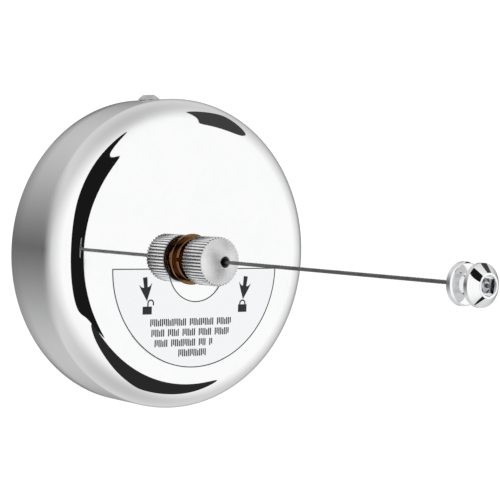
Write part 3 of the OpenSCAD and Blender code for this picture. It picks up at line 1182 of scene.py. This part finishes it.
    def build(self) -> None:
        """Builds the lock's pieces and dresses them."""
        finish_piece(self.bush(), BRASS, "brass", "housing", "lock_bush")
        washer = self.washer_span
        disc = turned(
            "face_washer",
            [
                Corner(self.bush_radius + 0.02, washer.near), Corner(washer.radius, washer.near),
                Corner(washer.radius, washer.far, 0.12), Corner(self.bush_radius + 0.02, washer.far),
            ],
            height=washer.height,
        )
        finish_piece(disc, BRASS, "brass", "housing", "bush_washer")
        finish_piece(self.nut(), BRASS, "brass", "housing", "bush_nut")
        finish_piece(self.knob(), KNOB_CHROME, "knob_chrome", "lock_knob", "knob_shell")
        core = Span.of("knob_core")
        bore = self.bush_radius + 0.05
        cup = turned(
            "knob_insert",
            [
                Corner(core.radius - 0.5, core.near, 0.15), Corner(core.radius, core.near, 0.15),
                Corner(core.radius, core.far), Corner(bore, core.far),
                Corner(bore, core.near + 1.2, 0.3),
            ],
            height=core.height,
        )
        finish_piece(cup, BRASS, "brass", "lock_knob", "knob_core")
        ring = Span.of("line_grommet")
        grommet = turned(
            "line_guide",
            [
                Corner(0.75, ring.near, 0.15), Corner(ring.radius, ring.near),
                Corner(ring.radius, ring.far, 0.2), Corner(0.75, ring.far, 0.25),
            ],
            sides=64,
            height=ring.height,
        )
        finish_piece(grommet, RUBBER, "grommet_plastic", "lock_knob", "line_grommet")


# ---------------------------------------------------------------- line, winding, end knob


@dataclass
class Line:
    """Stranded steel line: the wound length, the run inside, and the length outside."""

    diameter: float = 0.9
    strands: int = 6
    lay: float = 7.0
    run_end: float = 18.2
    exit_depth: float = 35.3
    drum_radius: float = 20.0
    layers: int = 5
    turns_in_layer: int = 4
    roller_radius: float = 3.0
    roller_depth: float = 14.6
    route: tuple[tuple[float, float, float], ...] = (
        (-11.5, 22.3, 6.5), (-9.6, 23.3, 6.5), (-7.7, 24.3, 6.5), (-5.8, 25.3, 6.5),
        (-3.8, 26.3, 6.5), (-2.4, 27, 6.7), (-1.2, 27.5, 7.2), (-0.4, 27.8, 8),
        (0, 27.9, 9), (0, 27.85, 9.8), (0, 27.5, 10.7), (0, 26.8, 11.35),
        (0, 25.9, 11.6), (0, 24, 11.6), (0, 20, 11.6), (0, 16, 11.6), (0, 12, 11.6),
        (0, 8, 11.6), (0, 4, 11.6),
    )

    def strand_edge(self, angle: float) -> float:
        """Distance from the axis to the outermost strand at an angle."""
        strand = self.diameter / 6
        ring = self.diameter / 2 - strand
        step = 2 * math.pi / self.strands
        off = (angle + step / 2) % step - step / 2
        across = ring * math.sin(abs(off))
        if across >= strand:
            return ring
        return ring * math.cos(off) + math.sqrt(strand**2 - across**2)

    def stranded(self, name: str, path: Sequence[Vector], sides: int) -> bpy.types.Object:
        """Lays twisted strands along a path.

        Args:
            name: the piece's name.
            path: the centreline, in millimetres.
            sides: points round the line.

        Returns:
            The line.
        """
        mesh = bmesh.new()
        loops = []
        run = 0.0
        outwards = abs((path[1] - path[0]).normalized().z) >= STEEP
        normal = Vector((0, 1, 0)) if outwards else Vector((0, 0, 1))
        for i, point in enumerate(path):
            tangent = (path[min(i + 1, len(path) - 1)] - path[max(i - 1, 0)]).normalized()
            normal = (normal - tangent * normal.dot(tangent)).normalized()
            side = tangent.cross(normal)
            if i > 0:
                run += (point - path[i - 1]).length
            twist = 2 * math.pi * run / self.lay
            loop = []
            for k in range(sides):
                angle = 2 * math.pi * k / sides
                radius = self.strand_edge(angle - twist)
                loop.append(
                    mesh.verts.new(point + (normal * math.cos(angle) + side * math.sin(angle)) * radius)
                )
            loops.append(loop)
        for a, b in zip(loops, loops[1:]):
            for k in range(sides):
                n = (k + 1) % sides
                mesh.faces.new((a[k], a[n], b[n], b[k]))
        mesh.faces.new(loops[0])
        mesh.faces.new(loops[-1])
        return make_object(name, mesh, OUTWARDS)

    def outer_path(self) -> list[Vector]:
        """Centreline of the straight length, from the bush into the end knob."""
        tip = Span.of("line_outer").far
        steps = round((tip - self.run_end) / 0.4)
        return [
            Vector((0, LINE_HEIGHT, self.run_end + (tip - self.run_end) * k / steps))
            for k in range(steps + 1)
        ]

    def inner_path(self) -> list[Vector]:
        """Centreline from the winding, through the eyelet and round the roller."""
        points = [Vector(p) for p in self.route]
        centre = LINE_HEIGHT + self.roller_radius
        for k in range(9):
            angle = math.pi / 2 * k / 8
            points.append(
                Vector(
                    (
                        0,
                        centre - self.roller_radius * math.sin(angle),
                        self.roller_depth - self.roller_radius * math.cos(angle),
                    )
                )
            )
        points.append(Vector((0, LINE_HEIGHT, 16.4)))
        points.append(Vector((0, LINE_HEIGHT, self.run_end)))
        return curve_through(points, 4)

    def winding_path(self) -> list[Vector]:
        """Centreline of the turns on the drum, layer upon layer."""
        winding = Span.of("line_winding")
        low = winding.near + self.diameter / 2
        high = winding.far - self.diameter / 2
        step = (winding.radius - self.drum_radius - self.diameter) / (self.layers - 1)
        per_turn = 60
        count = self.layers * self.turns_in_layer * per_turn
        path = []
        for i in range(count + 1):
            turns = i / per_turn
            layer = turns / self.turns_in_layer
            across = abs((layer + 1) % 2 - 1)
            level = min(self.layers - 1, math.floor(layer))
            ease = min(1.0, (layer - level) * self.turns_in_layer * 2)
            radius = self.drum_radius + self.diameter / 2
            if level > 0:
                radius += step * (level - 1 + ease)
            angle = 2 * math.pi * turns
            depth = low + (high - low) * across
            path.append(Vector((radius * math.cos(angle), radius * math.sin(angle), depth)))
        return path

    def build(self, end_pieces: Sequence[bpy.types.Object]) -> None:
        """Args:
            end_pieces: the pieces on the line's far end; not used.
        """
        path = self.outer_path()
        line = self.stranded("line_length", path, 36)
        line.data.materials.append(LINE_STEEL.material())
        Vector((0, -Span.of("end_knob").near, LINE_HEIGHT)) * MM
        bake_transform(line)
        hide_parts("line_outer")
        run = self.stranded("line_inside", self.inner_path(), 24)
        finish_piece(run, LINE_STEEL, "line_steel", "housing", "line_run")
        winding = self.stranded("wound_line", self.winding_path(), 12)
        finish_piece(winding, LINE_STEEL, "line_steel", "reel", "line_winding")


@dataclass
class EndKnob:
    """Turned spool on the line's end, with the crimp that stops it."""

    rear_band: float = 1.7
    neck_radius: float = 2.2
    neck_end: float = 4.2
    flare_end: float = 5.0
    front_end: float = 6.0
    face_radius: float = 2.55
    recess_radius: float = 2.05
    recess_depth: float = 2.6
    bore_radius: float = 0.6
    bevel: float = 0.32

    def spool(self) -> bpy.types.Object:
        """The spool itself.

        Returns:
            The piece.
        """
        span = Span.of("end_knob")
        rear = span.near
        radius = span.radius
        corners = [
            Corner(self.bore_radius, rear), Corner(radius - self.bevel, rear, 0.04),
            Corner(radius, rear + self.bevel, 0.04),
            Corner(radius, rear + self.rear_band - self.bevel, 0.04),
            Corner(radius - self.bevel, rear + self.rear_band, 0.04),
            Corner(self.neck_radius, rear + self.rear_band, 0.12),
            Corner(self.neck_radius, rear + self.neck_end, 0.5),
            Corner(radius, rear + self.flare_end, 0.1), Corner(radius, rear + self.front_end, 0.08),
            Corner(self.face_radius, span.far, 0.08), Corner(self.recess_radius, span.far, 0.1),
            Corner(self.recess_radius, span.far - self.recess_depth, 0.15),
            Corner(self.bore_radius, span.far - self.recess_depth),
        ]
        return turned("end_spool", corners, sides=160, height=span.height, steps=5)

    def crimp(self) -> bpy.types.Object:
        """The crimped bead in the spool's recess.

        Returns:
            The piece.
        """
        span = Span.of("line_crimp")
        corners = [
            Corner(0.47, span.near), Corner(span.radius, span.near, 0.2),
            Corner(span.radius, span.far - 0.5, 0.2), Corner(span.radius - 0.5, span.far, 0.2),
            Corner(0.47, span.far),
        ]
        return turned("end_crimp", corners, sides=72, height=span.height)

    def build(self) -> list[bpy.types.Object]:
        """Builds both pieces and dresses them.

        Returns:
            The spool and the crimp.
        """
        spool = finish_piece(self.spool(), END_CHROME, "end_knob_chrome", "spool", "end_knob")
        crimp = finish_piece(self.crimp(), SCREW_STEEL, "screw_steel", "line_end", "line_crimp")
        return [spool, crimp]


# ---------------------------------------------------------------- label


@dataclass
class Label:
    """Thin foil below the knob with generic printed marks."""

    radius: float = 24.4
    hole_radius: float = 8.0
    edge_height: float = -3.1
    middle: float = 1.5
    thickness: float = 0.08
    ink: float = 0.04
    margin: float = 0.1
    outline: float = 0.24
    arrow_place: Point2 = (14.7, -8.0)
    arrow_lean: float = 7.0
    lock_place: Point2 = (14.2, -12.9)
    case_half: float = 1.3
    case_low: float = -1.25
    case_high: float = 0.65
    bow_outer: float = 0.95
    bow_inner: float = 0.62
    bow_rise: float = 0.9
    bow_lift: float = 0.5
    bow_steps: int = 20
    stroke_notch: float = 0.35
    stroke: float = 0.3
    stroke_pitch: float = 0.56
    word_gap: float = 0.9
    stroke_height: float = 1.75
    # Each row's height, left end and the number of strokes in each word
    rows: tuple[tuple[float, float, tuple[int, ...]], ...] = (
        (-16.2, -13.2, (19, 13, 8)),
        (-18.7, -12.8, (7, 6, 7, 7, 8)),
        (-21.2, -11.8, (7, 13, 4, 2)),
        (-23.7, -4.8, (15,)),
    )

    def half_ring(self, margin: float) -> list[Point2]:
        """Outline of the half ring with a margin taken off.

        Args:
            margin: width taken off all round.

        Returns:
            The outline's points.
        """
        outer = self.radius - margin
        inner = self.hole_radius + margin
        drop = math.degrees(math.asin(margin / outer))
        inner_drop = math.degrees(math.asin(margin / inner))
        centre = (0.0, self.edge_height)
        return arc_points(centre, outer, 180 + drop, 360 - drop, 120) + arc_points(
            centre, inner, 360 - inner_drop, 180 + inner_drop, 60
        )

    def arrow(self, side: int) -> list[Point2]:
        """Outline of an arrow that points down, with curved barbs.

        Args:
            side: -1 for the left arrow, 1 for the right.

        Returns:
            The outline's points.
        """
        half = [
            (0.62, 2.75), (0.5, 0.35), (0.85, 0.35), (1.3, 0.6), (1.85, 1.15),
            (1.4, 0.0), (0.95, -1.0), (0.5, -1.9), (0.0, -3.0),
        ]
        points = half + [(-x, y) for x, y in reversed(half[:-1])]
        lean = Matrix.Rotation(math.radians(-side * self.arrow_lean), 2)
        shift = Vector((side * self.arrow_place[0], self.arrow_place[1]))
        return [tuple(shift + lean @ Vector(p)) for p in points]

    def add_padlock(self, mesh: bmesh.types.BMesh, side: int, near: float, far: float) -> None:
        """Adds a padlock, which is open on the left.

        Args:
            mesh: the edit mesh to add to.
            side: -1 for the left padlock, 1 for the right.
            near: depth of its back.
            far: depth of its front.
        """
        is_open = side < 0
        x, y = side * self.lock_place[0], self.lock_place[1]
        half, low, high = self.case_half, y + self.case_low, y + self.case_high
        case = [(x - half, low), (x + half, low), (x + half, high), (x - half, high)]
        add_plate(mesh, case, near, far)
        lift = self.bow_lift if is_open else 0.0
        shift = self.bow_outer if is_open else 0.0
        centre = (x + shift, y + self.bow_rise + lift)
        bow = arc_points(centre, self.bow_outer, 0, 180, self.bow_steps)
        bow += arc_points(centre, self.bow_inner, 180, 0, self.bow_steps)
        add_plate(mesh, bow, near, far)
        for foot in (-1, 1):
            inner = centre[0] + foot * self.bow_inner
            outer = centre[0] + foot * self.bow_outer
            foot_end = high if not is_open or foot < 0 else centre[1] - self.bow_lift
            leg = [(inner, foot_end), (outer, foot_end), (outer, centre[1]), (inner, centre[1])]
            add_plate(mesh, leg, near, far)

    def add_rows(self, mesh: bmesh.types.BMesh, near: float, far: float) -> None:
        """Adds the rows of plain strokes.

        Args:
            mesh: the edit mesh to add to.
            near: depth of their backs.
            far: depth of their fronts.
        """
        for height, left, words in self.rows:
            x = left
            for strokes in words:
                for k in range(strokes):
                    low = height - self.stroke_height / 2
                    high = height + self.stroke_height / 2
                    if k % 3 == 1:
                        low += self.stroke_notch * (k % 2)
                        high -= self.stroke_notch * (1 - k % 2)
                    bar = [(x, low), (x + self.stroke, low), (x + self.stroke, high), (x, high)]
                    add_plate(mesh, bar, near, far)
                    x += self.stroke_pitch
                x += self.word_gap

    def build(self) -> None:
        """Builds the foil and its print, and dresses them."""
        near = Span.of("instruction_label").near
        top = near + self.thickness
        mesh = bmesh.new()
        add_plate(mesh, self.half_ring(0.0), near, top)
        place = OUTWARDS @ Matrix.Translation((self.middle, 0, 0))
        foil = make_object("label_sheet", mesh, place)
        finish_piece(foil, FOIL, "label_foil", "housing", "instruction_label")
        mesh = bmesh.new()
        high = top + self.ink
        add_band(
            mesh, self.half_ring(self.margin), self.half_ring(self.margin + self.outline), top, high
        )
        for side in (-1, 1):
            add_plate(mesh, self.arrow(side), top, high)
            self.add_padlock(mesh, side, top, high)
        self.add_rows(mesh, top, high)
        marks = make_object("label_marks", mesh, place)
        finish_piece(marks, INK, "label_ink", "housing", "label_print")


# ---------------------------------------------------------------- mechanism


@dataclass
class Mechanism:
    """Pieces of the mechanism that keep the frame's meshes and get a finish."""

    finishes: dict[str, Finish] = field(
        default_factory=lambda: {
            "reel_frame": FRAME_PLASTIC,
            "reel_back_cover": SHEET_STEEL,
            "frame_screws": SCREW_STEEL,
            "spindle": PIN_STEEL,
            "spindle_clip": PIN_STEEL,
            "spring_arbor": ARBOR_PLASTIC,
            "power_spring": SPRING_STEEL,
            "reel_drum": DRUM_PLASTIC,
            "drum_bearing": BRASS,
            "spring_lid": SHEET_STEEL,
            "line_anchor": BRASS,
            "line_eyelet": CERAMIC,
            "guide_roller": ROLLER_PLASTIC,
            "roller_axle": PIN_STEEL,
            "collet": BRONZE,
            "clamp_sleeve": SLEEVE_PLASTIC,
        }
    )

    def dress(self, nodes: dict[str, bpy.types.Object]) -> None:
        """Gives each node its finish.

        Args:
            nodes: the frame's nodes by name.
        """
        for name, finish in self.finishes.items():
            node = nodes[name]
            node.data.materials.clear()
            node.data.materials.append(finish.material())
            LOG.info("%s keeps its mesh", name)


# ---------------------------------------------------------------- studio


def on_sphere(heading: float, elevation: float, distance: float) -> Vector:
    """The point on a sphere at a heading and elevation, in degrees."""
    h, e = math.radians(heading), math.radians(elevation)
    return Vector((math.sin(h) * math.cos(e), -math.cos(h) * math.cos(e), math.sin(e))) * distance


def hang(
    name: str, mesh: bmesh.types.BMesh, glow: Callable[[Vector], float]
) -> bpy.types.Object:
    """Hangs a glowing or dark sheet that only reflections show.

    Args:
        name: the sheet's name.
        mesh: its edit mesh, in metres.
        glow: how bright it is at a place, as the eye sees it, from 0 to 1.

    Returns:
        The sheet.
    """
    data = bpy.data.meshes.new(name)
    mesh.to_mesh(data)
    mesh.free()
    tones = data.attributes.new("tone", "FLOAT", "POINT")
    for vertex, item in zip(data.vertices, tones.data):
        item.value = max(0.0, glow(vertex.co)) ** DISPLAY_GAMMA
    sheet = bpy.data.objects.new(name, data)
    bpy.context.scene.collection.objects.link(sheet)
    material = bpy.data.materials.new(name)
    material.use_nodes = True
    tree = material.node_tree
    tree.nodes.clear()
    tone = tree.nodes.new("ShaderNodeAttribute")
    tone.attribute_name = "tone"
    light = tree.nodes.new("ShaderNodeEmission")
    output = tree.nodes.new("ShaderNodeOutputMaterial")
    tree.links.new(tone.outputs["Fac"], light.inputs["Color"])
    tree.links.new(light.outputs[0], output.inputs["Surface"])
    data.materials.append(material)
    sheet.visible_camera = False
    return sheet


@dataclass(frozen=True)
class Card:
    """A plain dark card on a sphere round the object, which only reflections show.

    The corners are headings and elevations in degrees: heading 0 is straight out of the wall and
    90 is to the right. The outline is rounded through them.
    """

    name: str
    corners: tuple[Point2, ...]
    tone: float

    def build(self, distance: float) -> None:
        """Hangs the card.

        Args:
            distance: the sphere's radius, in metres.
        """
        corners = [Vector(point) for point in self.corners]
        outline = [tuple(p) for p in curve_through(corners, 8, closed=True)]
        mesh = bmesh.new()
        verts = [mesh.verts.new(on_sphere(h, e, distance)) for h, e in outline]
        for a, b, c in tessellate_polygon([[Vector((h, e, 0)) for h, e in outline]]):
            mesh.faces.new((verts[a], verts[b], verts[c]))
        hang(self.name, mesh, lambda _place: self.tone)


@dataclass
class Studio:
    """White room, pale floor, soft dome with dark cards for the metal to reflect, and the camera."""

    surround: float = 1.12
    dome_distance: float = 1.28
    card_distance: float = 1.25
    floor_height: float = -3.0
    floor_half: float = 60.0
    floor_tone: float = 0.95
    metal_share: float = 0.96
    camera_place: tuple[float, float, float] = (-0.222336, -0.334213, 0.015849)
    yaw: float = -37.5055
    pitch: float = 2.1177
    roll: float = 1.7044
    lens: float = 113.845
    # Brightness of the dome in front, at the sides, behind at eye level, and overhead
    front_tone: float = 0.98
    side_tone: float = 0.82
    back_tone: float = 0.4
    overhead_tone: float = 0.74
    turn_gain: float = 1.6
    rise_gain: float = 1.5
    overhead_power: int = 6
    dome_step: int = 2
    cards: tuple[Card, ...] = (
        Card(
            "tall_card",
            ((2, 54), (-22, 44), (-28, 24), (-19, 0), (-19, -22), (4, -18), (28, -8), (25, 8), (0, 33)),
            0.12,
        ),
        Card(
            "low_card",
            ((25, -13), (46, -24), (50, -46), (28, -62), (6, -52), (0, -32), (8, -18)),
            0.18,
        ),
        Card("side_card", ((38, 17), (50, 45), (62, 52), (96, 40), (62, 26)), 0.26),
    )

    def camera(self) -> None:
        """Makes the scene's camera."""
        yaw, pitch, roll = (math.radians(a) for a in (self.yaw, self.pitch, self.roll))
        back = Vector(
            (math.sin(yaw) * math.cos(pitch), -math.cos(yaw) * math.cos(pitch), math.sin(pitch))
        )
        level = Vector((math.cos(yaw), math.sin(yaw), 0))
        upright = back.cross(level)
        right = level * math.cos(roll) + upright * math.sin(roll)
        top = upright * math.cos(roll) - level * math.sin(roll)
        turn = Matrix((right, top, back)).transposed().to_4x4()
        data = bpy.data.cameras.new("camera")
        data.lens = self.lens
        data.clip_start = 0.01
        camera = bpy.data.objects.new("camera", data)
        camera.matrix_world = Matrix.Translation(self.camera_place) @ turn
        bpy.context.scene.collection.objects.link(camera)
        bpy.context.scene.camera = camera

    def floor(self) -> None:
        """Lays the pale floor."""
        mesh = bmesh.new()
        half = self.floor_half
        corners = [(-half, -half), (half, -half), (half, half), (-half, half)]
        mesh.faces.new([mesh.verts.new((x, y, self.floor_height)) for x, y in corners])
        data = bpy.data.meshes.new("floor")
        mesh.to_mesh(data)
        mesh.free()
        floor = bpy.data.objects.new("floor", data)
        bpy.context.scene.collection.objects.link(floor)
        graph = Graph("pale_floor")
        tone = self.floor_tone
        shade = graph.blended(graph.noise(0.6), (tone,) * 3, (tone * 0.99,) * 3)
        graph.link(shade, graph.shader.inputs["Base Color"])
        graph.shader.inputs["Roughness"].default_value = 0.9
        data.materials.append(graph.material)

    def dome_tone(self, direction: Vector) -> float:
        """Brightness of the dome in a direction: white in front, darker behind and overhead.

        Args:
            direction: from the object outwards.

        Returns:
            The brightness as the eye sees it.
        """
        ahead = -direction.y / direction.length
        height = abs(direction.z) / direction.length
        if ahead >= 0:
            tone = self.side_tone + (self.front_tone - self.side_tone) * min(1.0, self.turn_gain * ahead)
        else:
            share = min(1.0, -self.turn_gain * ahead) * (1 - min(1.0, self.rise_gain * height))
            tone = self.side_tone + (self.back_tone - self.side_tone) * share
        tone += (self.overhead_tone - tone) * height**self.overhead_power
        return tone / self.metal_share

    def dome(self) -> None:
        """Hangs the soft dome round the object."""
        mesh = bmesh.new()
        rings = []
        for e in range(-90, 91, self.dome_step):
            fine = range(-180, 180, self.dome_step)
            rings.append([mesh.verts.new(on_sphere(h, e, self.dome_distance)) for h in fine])
        for low, high in zip(rings, rings[1:]):
            for k in range(len(low)):
                n = (k + 1) % len(low)
                mesh.faces.new((low[k], low[n], high[n], high[k]))
        hang("soft_dome", mesh, self.dome_tone)

    def lights(self) -> None:
        """Sets the white surroundings."""
        world = bpy.data.worlds.new("white_room")
        world.use_nodes = True
        background = world.node_tree.nodes["Background"]
        background.inputs["Color"].default_value = (1, 1, 1, 1)
        background.inputs["Strength"].default_value = self.surround
        bpy.context.scene.world = world
        bpy.context.scene.view_settings.view_transform = "Standard"

    def build(self) -> None:
        """Builds everything round the object."""
        self.lights()
        self.floor()
        self.dome()
        for card in self.cards:
            card.build(self.card_distance)


def main() -> None:
    """Builds the clothesline round the frame."""
    logging.basicConfig(level=logging.INFO, format="%(message)s")
    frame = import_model()
    studio = Studio()
    studio.camera()
    end_pieces = EndKnob().build()
    Line().build(end_pieces)
    Cover().build()
    WallMount().build()
    Lock().build()
    Label().build()
    Mechanism().dress(frame["nodes"])
    studio.build()


if __name__ == "__main__":
    main()
